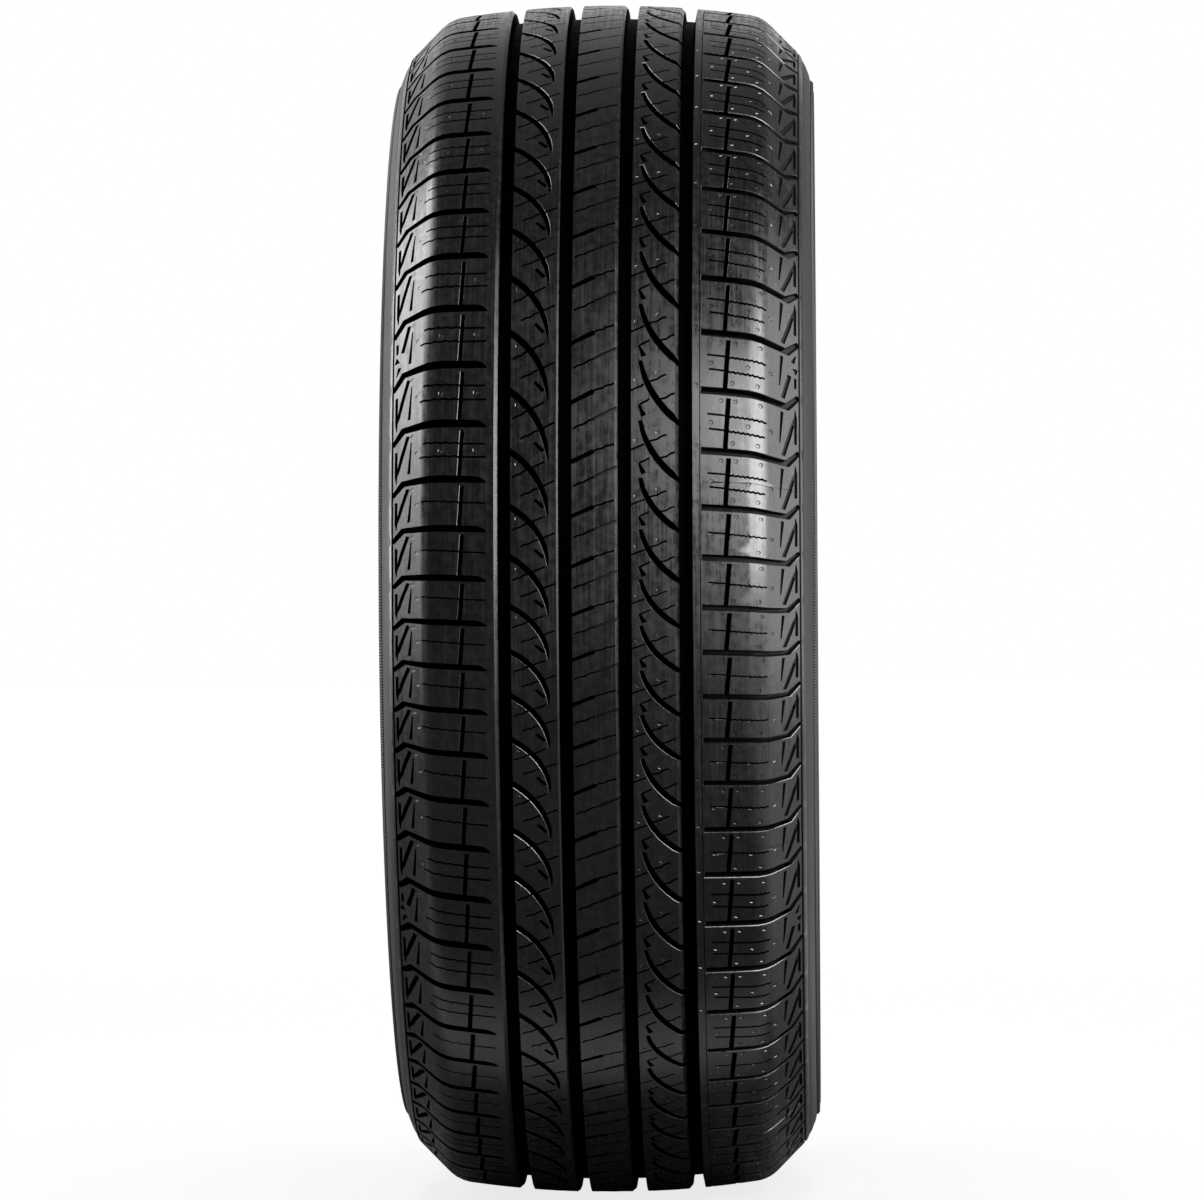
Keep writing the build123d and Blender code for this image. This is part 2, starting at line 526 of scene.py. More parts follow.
class TreadPattern:
    """The cuts and vent marks of the tread, drawn flat on one pitch. Each rib or shoulder gives its own."""

    # Lateral grooves: their lines, half widths and shares of the full depth, from left to right
    LEFT_LATERAL = [
        (-115.2, 6.9), (-108.9, -1.7), (-98.4, -1.3), (-94.5, -1.17), (-90.0, -1.02),
        (-86.0, -0.88), (-67.2, 0.25), (-64.7, 0.8), (-62.5, 1.75), (-60.8, 2.9),
    ]
    LEFT_LATERAL_HALVES = [1.45, 2.0, 2.4, 2.4, 2.45, 2.5, 2.35, 2.0, 1.2, 0.1]
    LEFT_LATERAL_SHARES = [0.4, 0.6, 1, 1, 1, 1, 1, 1, 1, 1]
    RIGHT_LATERAL = [
        (59.6, 0.0), (73.8, 0.75), (86.0, 1.55), (90.0, 2.0),
        (94.5, 2.6), (98.6, 3.15), (108.4, 3.6), (115.2, -5.6),
    ]
    RIGHT_LATERAL_HALVES = [2.3, 2.4, 2.4, 2.4, 2.35, 2.3, 2.15, 1.65]
    RIGHT_LATERAL_SHARES = [1, 1, 1, 1, 0.95, 0.9, 0.6, 0.4]

    # Half widths and depths of the lines that end in a V, and the places of those that run round the tyre
    FINE_LINE_PLACE, FINE_LINE_HALF_WIDTH, FINE_LINE_DEPTH = 59.2, 0.25, 0.7
    EDGE_LINE_PLACE, EDGE_LINE_HALF_WIDTH, EDGE_LINE_DEPTH = 115.2, 0.5, 0.9
    JOINT_LINE_HALF_WIDTH, JOINT_LINE_DEPTH = 0.15, 0.35

    # Sipes: half a wavelength, the share of a shoulder sipe that is wavy, outside the block's slit, and where
    # those of the shoulders start and end
    LEFT_WAVE, LEFT_WAVY = 2.8, (0.0, 0.6)
    RIGHT_WAVE, RIGHT_WAVY = 1.4, (0.35, 1.0)
    LEFT_SHORT_PITCH_SIPES = [((-98.0, 14.5), (-61.8, 17.5))]
    LEFT_LONG_PITCH_SIPES = [((-97.2, 10.8), (-61.8, 13.5)), ((-99.2, 19.7), (-61.2, 21.9))]
    RIGHT_SHORT_PITCH_SIPES = [((63.4, 18.0), (96.5, 22.0))]
    RIGHT_LONG_PITCH_SIPES = [((63.4, 14.2), (96.8, 17.8)), ((64.4, 23.0), (95.8, 27.0))]
    RIB_WAVE = 3.0

    # Vent marks, with a fainter ring left of the right shoulder
    LEFT_VENTS = [(-103.2, 3.9), (-100.6, 15.8), (-87.2, 16.6), (-67.4, 17.2)]
    RIGHT_VENTS = [
        (71.2, 6.2), (79.4, 6.6), (93.4, 8.2), (86.4, 21.2), (65.6, 19.3),
        (99.1, 22.4), (77.6, 31.4), (91.8, 32.4), (56.9, -3.2),
    ]
    LEFT_RIB_VENTS = [(-43.6, 26.2)]
    RIGHT_RIB_VENTS = [(23.4, 45.0), (35.6, 40.2)]
    FAINT_RING_SHARE = 0.55
    FAINT_SIDE = 50.0

    NEIGHBOURS = range(-2, 3)

    def __init__(self, sizes):
        lateral_depth = millimetres(sizes.lateral_groove_depth)
        self.main_groove = walls(run=0.8, depth=millimetres(sizes.main_groove_depth))
        self.left_lateral = walls(run=0.7, depth=lateral_depth)
        self.right_lateral = walls(run=0.75, depth=lateral_depth, eased=0.4)
        self.crescent_groove = walls(run=0.55, depth=millimetres(sizes.crescent_depth), eased=0.3)
        self.block_slit = walls(run=0.5, depth=millimetres(sizes.block_slit_depth), eased=0.25)
        self.short_slit = walls(run=0.35, depth=millimetres(sizes.short_slit_depth))
        self.shallow_slit = walls(run=0.3, depth=millimetres(sizes.shallow_slit_depth))
        self.flank_slit = walls(run=0.3, depth=millimetres(sizes.flank_slit_depth))
        self.sipe_half_width = millimetres(sizes.sipe_width) / 2
        self.sipe_walls = walls(run=self.sipe_half_width, depth=millimetres(sizes.sipe_depth))
        self.vent_ring_depth = millimetres(sizes.vent_ring_depth)

    def sipe(self, start, end, half_wave=None, wavy=(0.0, 1.0)):
        """A thin cut that lets the rubber flex, wavy from one share of its length to another."""
        return Cut(wavy_line(start, end, half_wave, wavy), self.sipe_half_width, self.sipe_walls)

    def crescent(self, centre, radius, first, last, halves):
        """A curved groove along an arc, with half widths spread evenly over its points."""
        return Cut(arc(centre, radius, first, last, len(halves)), halves, self.crescent_groove)

    def vent_marks(self, places):
        """Vent marks at these places, on the right shoulder with the full depth of ring."""
        faint = self.FAINT_RING_SHARE * self.vent_ring_depth
        return [
            VentMark(across, along, self.vent_ring_depth if across > self.FAINT_SIDE else faint)
            for across, along in places
        ]

    def main_grooves(self):
        """Four bevelled grooves round the tyre, the fine line beside the right one, and the line inside each
        edge of the tread."""
        cuts = []
        for centre, bevel in MAIN_GROOVES:
            cuts.append(round_the_tyre(centre, MAIN_GROOVE_HALF_WIDTH, self.main_groove))
            half = MAIN_GROOVE_HALF_WIDTH + bevel / 2
            cuts.append(round_the_tyre(centre - bevel / 2, half, walls(bevel, bevel * BEVEL_SLOPE), Bevel))
        fine_line = walls(self.FINE_LINE_HALF_WIDTH, self.FINE_LINE_DEPTH)
        cuts.append(round_the_tyre(self.FINE_LINE_PLACE, self.FINE_LINE_HALF_WIDTH, fine_line))
        edge_line = walls(self.EDGE_LINE_HALF_WIDTH, self.EDGE_LINE_DEPTH)
        for place in (-self.EDGE_LINE_PLACE, self.EDGE_LINE_PLACE):
            cuts.append(round_the_tyre(place, self.EDGE_LINE_HALF_WIDTH, edge_line))
        return cuts

    def flank_slits(self, marked):
        """The slanted and the outer slit on the right flank of a block. On a marked block the slanted one is
        broken, with a plain triangle by the gap."""
        if not marked:
            slanted = [(112.5, 9.0), (111.5, 13.5), (109.5, 22.0), (105.9, 34.8)]
            outer = [(112.7, 4.0), (113.0, 9.0), (112.9, 26.0)]
            return [
                Cut(slanted, [0.3, 0.95, 1.1, 1.1], self.flank_slit),
                Cut(outer, [0.2, 0.8, 0.8], self.flank_slit),
            ]
        triangle = Cut([(113.0, 13.0), (113.2, 17.0)], [1.6, 0.15], self.flank_slit)
        slanted_start = Cut([(113.3, 4.0), (111.4, 9.6)], [0.3, 1.1], self.flank_slit)
        slanted_end = Cut([(109.8, 18.6), (105.9, 34.8)], 1.1, self.flank_slit)
        outer = Cut([(113.0, 19.2), (112.9, 26.0)], 0.75, self.flank_slit)
        return [triangle, slanted_start, slanted_end, outer]

    def left_shoulder(self, short, marked):
        """The left shoulder: lateral groove, slit along the block, slits of the flank, and one sipe on a
        short pitch or two on a long one."""
        cuts = [
            Cut(self.LEFT_LATERAL, self.LEFT_LATERAL_HALVES, self.left_lateral, self.LEFT_LATERAL_SHARES),
            Cut([(-74.7, 4.0), (-76.5, 35.0)], 1.4, self.block_slit),
            Cut([(-104.0, 7.6), (-105.4, 28.4)], [0.35, 0.9], self.flank_slit),
        ]
        cuts += [cut.mirrored() for cut in self.flank_slits(marked)]
        sipes = self.LEFT_SHORT_PITCH_SIPES if short else self.LEFT_LONG_PITCH_SIPES
        cuts += [self.sipe(start, end, self.LEFT_WAVE, self.LEFT_WAVY) for start, end in sipes]
        return cuts, self.vent_marks(self.LEFT_VENTS)

    def right_shoulder(self, short, marked):
        """The right shoulder, like the left and about half a pitch behind it."""
        cuts = [
            Cut(self.RIGHT_LATERAL, self.RIGHT_LATERAL_HALVES, self.right_lateral, self.RIGHT_LATERAL_SHARES),
            Cut([(75.4, 4.6), (73.4, 35.0)], 1.45, self.block_slit),
            Cut([(105.4, 7.6), (104.1, 27.4)], [0.9, 0.35], self.flank_slit),
        ]
        cuts += self.flank_slits(marked)
        sipes = self.RIGHT_SHORT_PITCH_SIPES if short else self.RIGHT_LONG_PITCH_SIPES
        cuts += [self.sipe(start, end, self.RIGHT_WAVE, self.RIGHT_WAVY) for start, end in sipes]
        vents = self.vent_marks(self.RIGHT_VENTS)
        return [cut.moved(RIGHT_SIDE_ALONG) for cut in cuts], [vent.moved(RIGHT_SIDE_ALONG) for vent in vents]

    def left_rib(self):
        """The rib left of the middle one: a crescent, a barb and two slanted sipes, each in two parts."""
        halves = np.interp(np.linspace(0, 1, 9), [0, 0.5, 0.8, 1], [2.3, 1.95, 1.55, 0.6])
        cuts = [
            self.crescent((-79.3, 60.2), 52.8, -56.0, 0.0, halves),
            Cut([(-33.8, 12.6), (-28.9, 18.4)], [1.0, 1.15], self.short_slit),
            self.sipe((-46.4, 34.6), (-37.0, 29.6), self.RIB_WAVE),
            self.sipe((-36.0, 29.0), (-28.2, 25.0)),
            self.sipe((-41.7, 46.4), (-31.8, 41.6), self.RIB_WAVE),
            self.sipe((-29.8, 40.7), (-22.4, 37.0)),
        ]
        return cuts, self.vent_marks(self.LEFT_RIB_VENTS)

    def right_rib(self):
        """The rib right of the middle one: a crescent, a barb and slanted sipes."""
        halves = np.interp(np.linspace(0, 1, 8), [0, 0.5, 0.85, 1], [1.35, 2.1, 2.2, 1.7])
        cuts = [
            self.crescent((84.75, 22.95), 60.0, 170.5, 127.0, halves),
            Cut([(24.9, 23.6), (27.7, 30.4)], [0.6, 1.6], self.short_slit),
            self.sipe((20.2, 51.4), (28.0, 47.6)),
            self.sipe((29.4, 47.0), (40.6, 41.4), self.RIB_WAVE),
            self.sipe((35.0, 57.8), (45.4, 52.6), self.RIB_WAVE),
            self.sipe((25.4, 23.6), (31.0, 20.4)),
        ]
        return cuts, self.vent_marks(self.RIGHT_RIB_VENTS)

    def middle_rib(self):
        """The middle rib, with two slanted cuts a pitch that change between slit and sipe at the centre."""
        cuts = [
            Cut([(-14.6, 26.4), (-0.6, 18.9)], [1.3, 1.55], self.short_slit),
            self.sipe((-0.9, 19.0), (11.6, 13.7), self.RIB_WAVE),
            self.sipe((-12.0, 40.9), (-0.2, 35.2), self.RIB_WAVE),
            Cut([(-0.2, 35.2), (14.2, 28.0)], 1.0, self.shallow_slit),
        ]
        return cuts, []

    def joint_line(self):
        """The fine line that two segments of the mould leave across the right shoulder."""
        line = [(60.2, 20.0), (88.0, 20.4), (113.0, 21.5)]
        profile = walls(self.JOINT_LINE_HALF_WIDTH, self.JOINT_LINE_DEPTH)
        return Cut(line, self.JOINT_LINE_HALF_WIDTH, profile).moved(RIGHT_SIDE_ALONG)

    def reaching(self, short, jointed, marked):
        """Every cut and vent mark that can reach into a pitch, with its neighbours' copies."""
        cuts, vents = self.main_grooves(), []
        parts = (
            self.left_shoulder(short, marked),
            self.right_shoulder(short, marked),
            self.left_rib(),
            self.right_rib(),
            self.middle_rib(),
        )
        for part_cuts, part_vents in parts:
            cuts += [cut.moved(step * PITCH) for cut in part_cuts for step in self.NEIGHBOURS]
            vents += [vent.moved(step * PITCH) for vent in part_vents for step in self.NEIGHBOURS]
        if jointed:
            cuts.append(self.joint_line())
        return cuts, vents


class TreadTile:
    """One pitch of the tread as a flat net of triangles, cut along the middle of its lateral grooves."""

    # Points between the cuts: places across, where they stand twice as close, and their distance from a cut
    GRID_ACROSS = [36.0, 68.0, 86.0, 90.0, 94.5, 98.5]
    FINE_GRID = 90.0
    CLEARANCE = 1.3

    # Least depth of a cut that takes the painted groove shade, on the crown and beyond the start of the flank
    GROOVE_START = 1.45
    FLANK_START = 101.0
    FLANK_GROOVE_START = 0.4

    # Depth up to which a cut is shallow and takes the lighter painted shade, and the place and depth beyond
    # which it is a right lateral groove, which takes it too
    SHALLOW_END = 1.55
    RIGHT_LATERAL_START = 58.0
    RIGHT_LATERAL_DEPTH = 5.2

    # How far past the seams cuts still count, and the least depth of one
    MARGIN = 2.0
    LEAST_DEPTH = 0.02

    def __init__(self, pattern, short, jointed, marked):
        self.cuts, self.vents = pattern.reaching(short, jointed, marked)
        self.start = self.seam(pattern)
        self.end = self.start + (0.0, PITCH)
        self.left_edge, self.right_edge = self.edge(-TREAD_EDGE), self.edge(TREAD_EDGE)
        self.make_net()
        self.set_depths()
        self.number_edges()

    def seam(self, pattern):
        """The line from edge to edge along which one pitch meets the next."""
        left_end, right_end = [(-TREAD_EDGE, TREAD_EDGE_ALONG)], [(TREAD_EDGE, TREAD_EDGE_ALONG)]
        right_lateral = np.array(pattern.RIGHT_LATERAL) + (0.0, RIGHT_SIDE_ALONG)
        return np.vstack([left_end, pattern.LEFT_LATERAL, right_lateral, right_end])

    def edge(self, across):
        """Points along one edge of the tread, from this pitch's seam to the next one's."""
        places = TREAD_EDGE_ALONG + np.arange(RING_STEPS + 1) * PITCH / RING_STEPS
        return np.column_stack([np.full(RING_STEPS + 1, across), places])

    def lines(self, low, high):
        """The seams, the edges and the outlines of all that lies between two places along, each with whether
        it is closed."""
        lines = [(line, False) for line in (self.start, self.end, self.left_edge, self.right_edge)]
        for cut in self.cuts:
            if cut.line[:, 1].max() > low and cut.line[:, 1].min() < high:
                lines += cut.rings()
        for vent in self.vents:
            if low < vent.centre[1] < high:
                lines += vent.rings()
        return lines

    def make_net(self):
        """Triangulates the pitch along the edges of all its cuts."""
        low, high = self.start[:, 1].min() - self.MARGIN, self.end[:, 1].max() + self.MARGIN
        points, edges = [], []
        for line, closed in self.lines(low, high):
            first, last = len(points), len(points) + len(line) - 1
            points += [tuple(point) for point in line]
            edges += [(number, number + 1) for number in range(first, last)]
            edges += [(last, first)] if closed else []
        starts, ends = np.array(points)[np.array(edges).T]
        points += self.filling(starts, ends, low, high)

        net = delaunay_2d_cdt([Vector(point) for point in points], edges, [], 0, MERGE_DISTANCE, False)
        flat = np.array([tuple(point) for point in net[0]])
        faces = np.array(net[2])
        outline = np.vstack([self.start, self.right_edge[1:-1], self.end[::-1], self.left_edge[-2:0:-1]])
        kept, _ = inside_distance(flat[faces].mean(axis=1), outline)
        used, faces = np.unique(faces[kept], return_inverse=True)
        self.flat, self.faces = flat[used], faces.reshape(-1, 3)
        a, b, c = (self.flat[self.faces[:, corner]] for corner in range(3))
        turned = (b[:, 0] - a[:, 0]) * (c[:, 1] - a[:, 1]) > (b[:, 1] - a[:, 1]) * (c[:, 0] - a[:, 0])
        self.faces[turned] = self.faces[turned][:, ::-1]

    def filling(self, starts, ends, low, high):
        """Points between the cuts that let the net follow the curve of the tread."""
        step = PITCH / RING_STEPS / 2
        along = np.arange(low, high, step)
        grid = [(x, y) for x in self.GRID_ACROSS for y in (along if x >= self.FINE_GRID else along[::2])]
        grid = np.array(grid + [(-x, y + step / 2) for x, y in grid])
        clear = segment_distance(grid, starts, ends)[0].min(axis=1) > self.CLEARANCE
        return [tuple(point) for point in grid[clear]]

    def set_depths(self):
        """Gives each point its depth below the tread's face, and finds the faces on it or on a dome."""
        bevels = [cut.depth(self.flat) for cut in self.cuts if isinstance(cut, Bevel)]
        others = [cut.depth(self.flat) for cut in self.cuts if not isinstance(cut, Bevel)]
        self.cut_depths = np.max(others, axis=0)
        depths = np.max(bevels + [self.cut_depths], axis=0)
        proud = np.zeros(len(self.flat))
        for vent in self.vents:
            height = vent.height(self.flat)
            proud = np.where(height != 0.0, height, proud)
        self.depths = np.where(depths > self.LEAST_DEPTH, depths, -proud)
        domes = [vent.holds(self.flat[self.faces]).all(axis=1) for vent in self.vents]
        level = (np.abs(self.depths[self.faces]) < FACE_DISTANCE).all(axis=1)
        self.on_face = level | np.any(domes, axis=0)

    def number_edges(self):
        """Finds the points on the two seams and the two edges, each in order."""
        self.start_points = self.points_on(self.start)
        self.end_points = self.points_on(self.end)
        if len(self.start_points) != len(self.end_points):
            raise RuntimeError("the two seams of a tread pitch don't match")
        self.left_points = self.points_on(self.left_edge)
        self.right_points = self.points_on(self.right_edge)

    def points_on(self, line):
        """Numbers of the points on a line, in order along it."""
        distance, places = segment_distance(self.flat, line[:-1], line[1:])
        nearest = distance.argmin(axis=1)
        found = np.flatnonzero(distance.min(axis=1) < LINE_DISTANCE)
        order = nearest[found] + places[found, nearest[found]]
        return found[np.argsort(order)]

    def finishes(self):
        """The finish of each face: the tread's own, or in a cut a painted shade, near-black in most cuts and
        a lighter grey in shallow cuts, right lateral grooves and the cuts of the right flank, where the key
        light falls."""
        depth = self.cut_depths[self.faces].max(axis=1)
        across = self.flat[self.faces, 0]
        flank = np.abs(across).min(axis=1) > self.FLANK_START
        cut = depth > np.where(flank, self.FLANK_GROOVE_START, self.GROOVE_START)
        left_end = across.min(axis=1)
        right_lateral = (left_end > self.RIGHT_LATERAL_START) & (depth > self.RIGHT_LATERAL_DEPTH)
        # On the flank, cuts on the left take the near-black painted shade and those on the right the lighter
        # one, as the key light falls from the right.
        shallow = np.where(flank, left_end > 0.0, depth < self.SHALLOW_END)
        return np.where(cut, np.where(shallow | right_lateral, SHALLOW_GROOVE_SHADE, GROOVE_SHADE), TREAD)


def tread_section(across):
    """Radius of the tread face at each distance across, and how far its outward side leans from upright."""
    out = np.abs(across)
    outer_radius = min(HIGH_CORNER.x, HIGH_CORNER.z) / MM - VentMark.HEIGHT
    start_lean = math.asin(SHOULDER_START / CROWN_RADIUS)
    start_radius = outer_radius - CROWN_RADIUS * (1 - math.cos(start_lean))
    flank_start = SHOULDER_START + SHOULDER_RADIUS * (math.sin(FLANK_SLOPE) - math.sin(start_lean))
    flank_radius = start_radius - SHOULDER_RADIUS * (math.cos(start_lean) - math.cos(FLANK_SLOPE))
    end_radius = flank_radius - (FLANK_END - flank_start) * math.tan(FLANK_SLOPE)

    crown_lean = np.arcsin(np.minimum(out, SHOULDER_START) / CROWN_RADIUS)
    turn = math.sin(start_lean) + (out - SHOULDER_START) / SHOULDER_RADIUS
    turn_lean = np.arcsin(np.clip(turn, 0.0, math.sin(FLANK_SLOPE)))
    parts = [out <= SHOULDER_START, out <= flank_start, out <= FLANK_END]
    lean = np.select(parts, [crown_lean, turn_lean, FLANK_SLOPE], EDGE_SLOPE)
    radius = np.select(
        parts,
        [
            outer_radius - CROWN_RADIUS * (1 - np.cos(crown_lean)),
            start_radius - SHOULDER_RADIUS * (math.cos(start_lean) - np.cos(turn_lean)),
            flank_radius - (out - flank_start) * math.tan(FLANK_SLOPE),
        ],
        end_radius - (out - FLANK_END) * math.tan(EDGE_SLOPE),
    )
    return radius, lean * np.sign(across)


def across_the_ribs(across, values):
    """A value at each distance across: each rib's own, blended over the main grooves between the ribs."""
    sides = [centre + side * MAIN_GROOVE_HALF_WIDTH for centre, _ in MAIN_GROOVES for side in (-1, 1)]
    return np.interp(across, sides, np.repeat(values, 2)[1:-1])


def pitch_angles(places, across):
    """Angle round the tyre, in radians, at places counted in pitches and distances across."""
    lengths = np.array([PITCH_LENGTHS[size] for size in PITCH_SEQUENCE])
    ends = np.concatenate([[0.0], np.cumsum(lengths) / lengths.sum()])
    count = len(PITCH_SEQUENCE)
    turns, rest = np.divmod(places - across_the_ribs(across, RIB_STARTS), count)
    round_share = turns + np.interp(rest, np.arange(count + 1), ends)
    round_share = round_share + across_the_ribs(across, RIB_TURNS) / count
    return math.radians(FIRST_PITCH_ANGLE) + 2 * math.pi * round_share


def tyre_points(across, radius, angle):
    """Points of the tyre in metres, from distances across it, radii and angles round it."""
    return MM * np.column_stack([radius * np.cos(angle), across, -radius * np.sin(angle)])


def ring_quads(near, far):
    """Four-sided faces between two rings of numbered points."""
    return np.column_stack([near, np.roll(near, -1), np.roll(far, -1), far])


def new_mesh(name, points, faces, materials):
    """A mesh with its materials."""
    mesh = bpy.data.meshes.new(name)
    mesh.from_pydata(points, [], faces)
    for material in materials:
        mesh.materials.append(material)
    return mesh


def new_object(name, data):
    """An object in the scene."""
    made = bpy.data.objects.new(name, data)
    bpy.context.scene.collection.objects.link(made)
    return made


class TyreMesh:
    """The whole tyre: the tread pitch by pitch, then the casing ring by ring."""

    def __init__(self, pattern):
        self.points, self.normals, self.faces, self.finishes, self.on_face = [], [], [], [], []
        self.count = 0
        self.add_tread(pattern)
        self.add_casing()

    def add_points(self, points, lean, angle):
        """Adds points, with the lean of the tread face there, and returns their numbers."""
        numbers = self.count + np.arange(len(points))
        outward = np.cos(lean)
        normals = np.column_stack([outward * np.cos(angle), np.sin(lean), -outward * np.sin(angle)])
        self.points.append(points)
        self.normals.append(normals)
        self.count += len(points)
        return numbers

    def add_tread(self, pattern):
        """Lays the pitches round the tyre. Each shares its first seam's points with the pitch before it."""
        tiles = {}
        laid = []
        for place, size in enumerate(PITCH_SEQUENCE):
            kind = (size in SHORT_PITCHES, place in JOINT_PITCHES, place in MARKED_PITCHES)
            if kind not in tiles:
                tiles[kind] = TreadTile(pattern, *kind)
            tile = tiles[kind]
            own = np.setdiff1d(np.arange(len(tile.flat)), tile.end_points)
            radius, lean = tread_section(tile.flat[own, 0])
            across = tile.flat[own, 0] - tile.depths[own] * np.sin(lean)
            radius = radius - tile.depths[own] * np.cos(lean)
            angle = pitch_angles(place + tile.flat[own, 1] / PITCH, tile.flat[own, 0])
            numbers = np.full(len(tile.flat), -1)
            numbers[own] = self.add_points(tyre_points(across, radius, angle), lean, angle)
            laid.append((tile, numbers))
        for place, (tile, numbers) in enumerate(laid):
            next_tile, next_numbers = laid[(place + 1) % len(laid)]
            numbers[tile.end_points] = next_numbers[next_tile.start_points]
            self.faces += numbers[tile.faces].tolist()
            self.finishes += tile.finishes().tolist()
            self.on_face += tile.on_face.tolist()
        self.left_ring = np.concatenate([numbers[tile.left_points[:-1]] for tile, numbers in laid])
        self.right_ring = np.concatenate([numbers[tile.right_points[:-1]] for tile, numbers in laid])

    def add_casing(self):
        """Turns the sidewalls, beads and liner, from the right edge of the tread round to the left."""
        right = [(across, radius, SIDEWALL) for across, radius in OUTER_WALL]
        right += [(across, radius, LINER) for across, radius in BEAD_AND_LINER]
        middle = [(0.0, BEAD_AND_LINER[-1][1], LINER)]
        left = [(-across, radius, finish) for across, radius, finish in right[::-1]]
        places = TREAD_EDGE_ALONG / PITCH + np.arange(len(self.left_ring)) / RING_STEPS
        rings, finishes = [self.right_ring], [SIDEWALL]
        for across, radius, finish in right + middle + left:
            angle = pitch_angles(places, across)
            points = tyre_points(np.full(len(angle), across), np.full(len(angle), radius), angle)
            rings.append(self.add_points(points, np.zeros(len(angle)), angle))
            finishes.append(finish)
        rings.append(self.left_ring)
        finishes.append(SIDEWALL)
        for near, far, near_finish, far_finish in zip(rings, rings[1:], finishes, finishes[1:]):
            quads = ring_quads(near, far)
            self.faces += quads.tolist()
            self.finishes += [max(near_finish, far_finish)] * len(quads)
            self.on_face += [False] * len(quads)

    def object(self, name, materials):
        """The finished Blender object, pressed flat where it stands."""
        points = np.vstack(self.points)
        points[:, 2] = np.maximum(points[:, 2], LOW_CORNER.z)
        mesh = new_mesh(name, points.tolist(), self.faces, materials)
        mesh.polygons.foreach_set("material_index", self.finishes)
        mesh.polygons.foreach_set("use_smooth", [True] * len(self.faces))
        mesh.set_sharp_from_angle(angle=math.radians(SHARP_ANGLE))
        mesh.validate()
        self.set_normals(mesh)
        return new_object(name, mesh)

    def set_normals(self, mesh):
        """Gives the tread's face the normals of its section, so that it shines evenly between the cuts."""
        normals = np.empty(len(mesh.loops) * 3, np.float32)
        mesh.corner_normals.foreach_get("vector", normals)
        normals = normals.reshape(-1, 3)
        corners = np.empty(len(mesh.loops), np.int32)
        mesh.loops.foreach_get("vertex_index", corners)
        sides = np.empty(len(mesh.polygons), np.int32)
        mesh.polygons.foreach_get("loop_total", sides)
        smooth = np.repeat(np.array(self.on_face), sides)
        normals[smooth] = np.vstack(self.normals)[corners[smooth]]
        mesh.normals_split_custom_set(normals.tolist())


def wall_point(radius):
    """The place on the sidewall's face at a radius: distance across the tyre, and that radius."""
    wall = np.array(OUTER_WALL)[::-1]
    return np.array([np.interp(radius, wall[:, 1], wall[:, 0]), radius])


class SidewallRelief:
    """The rings and bands of fine radial ribs on one sidewall, each closed below the sidewall's face. The
    side is -1 for the left and 1 for the right."""

    def __init__(self, side):
        self.side = side
        self.points, self.faces = [], []
        self.count = 0
        for band in RELIEF_BANDS:
            for first, last in band.arcs:
                self.add_arc(band, first, last)

    def add_arc(self, band, first, last):
        """One arc of a band: a ridge at every second column, and a valley between."""
        whole = last - first == FULL_TURN
        ribs = int(round(band.ribs * (last - first) / FULL_TURN))
        columns = 2 * ribs + (0 if whole else 1)
        angle = np.radians(first + (last - first) * np.arange(columns) / (2 * ribs))
        rise = np.resize((band.valley, band.ridge), columns)
        sunk = np.full(columns, -RELIEF_SINK)
        outer, inner = wall_point(band.outer), wall_point(band.inner)
        run = (inner - outer) / np.linalg.norm(inner - outer)
        out = np.array([-run[1], run[0]])
        ease = RELIEF_EASE * run
        rows = []
        for corner, height in ((outer, sunk), (outer + ease, rise), (inner - ease, rise), (inner, sunk)):
            place = corner + height[:, None] * out
            self.points.append(tyre_points(self.side * place[:, 0], place[:, 1], angle))
            rows.append(self.count + np.arange(columns))
            self.count += columns
        for near, far in zip(rows, rows[1:] + rows[:1]):
            quads = ring_quads(near, far)
            self.faces += (quads if whole else quads[:-1])[:, :: self.side].tolist()
        if not whole:
            self.faces.append([int(row[0]) for row in rows][:: self.side])
            self.faces.append([int(row[-1]) for row in rows][:: -self.side])

    def object(self, name, material):
        """The finished Blender object."""
        mesh = new_mesh(name, np.vstack(self.points).tolist(), self.faces, [material])
        mesh.validate()
        return new_object(name, mesh)


def new_group(name, inputs, outputs):
    """An empty shader node group with these float inputs and these outputs, and its two end nodes."""
    group = bpy.data.node_groups.new(name, "ShaderNodeTree")
    for socket, default in inputs.items():
        made = group.interface.new_socket(socket, in_out="INPUT", socket_type="NodeSocketFloat")
        made.default_value = default
    for socket in outputs:
        group.interface.new_socket(socket, in_out="OUTPUT", socket_type="NodeSocketFloat")
    return group, group.nodes.new("NodeGroupInput"), group.nodes.new("NodeGroupOutput")


def place_group(tree, group, values):
    """Places a node group in a material with its own values."""
    node = tree.nodes.new("ShaderNodeGroup")
    node.node_tree = group
    for name, value in values.items():
        node.inputs[name].default_value = value
    return node


def math_node(tree, operation, first, second=None, clamp=False):
    """A math node fed by sockets or plain numbers. Returns its result."""
    node = tree.nodes.new("ShaderNodeMath")
    node.operation = operation
    node.use_clamp = clamp
    for socket, value in zip(node.inputs, (first, second)):
        if isinstance(value, (int, float)):
            socket.default_value = value
        elif value is not None:
            tree.links.new(value, socket)
    return node.outputs[0]


def map_range(tree, value, span, result=RISING, smooth=False):
    """Maps a value from a span to a result, each a pair of ends, and clamps it. Returns the result."""
    node = tree.nodes.new("ShaderNodeMapRange")
    node.interpolation_type = "SMOOTHSTEP" if smooth else "LINEAR"
    tree.links.new(value, node.inputs["Value"])
    for name, number in zip(("From Min", "From Max", "To Min", "To Max"), (*span, *result)):
        node.inputs[name].default_value = number
    return node.outputs[0]


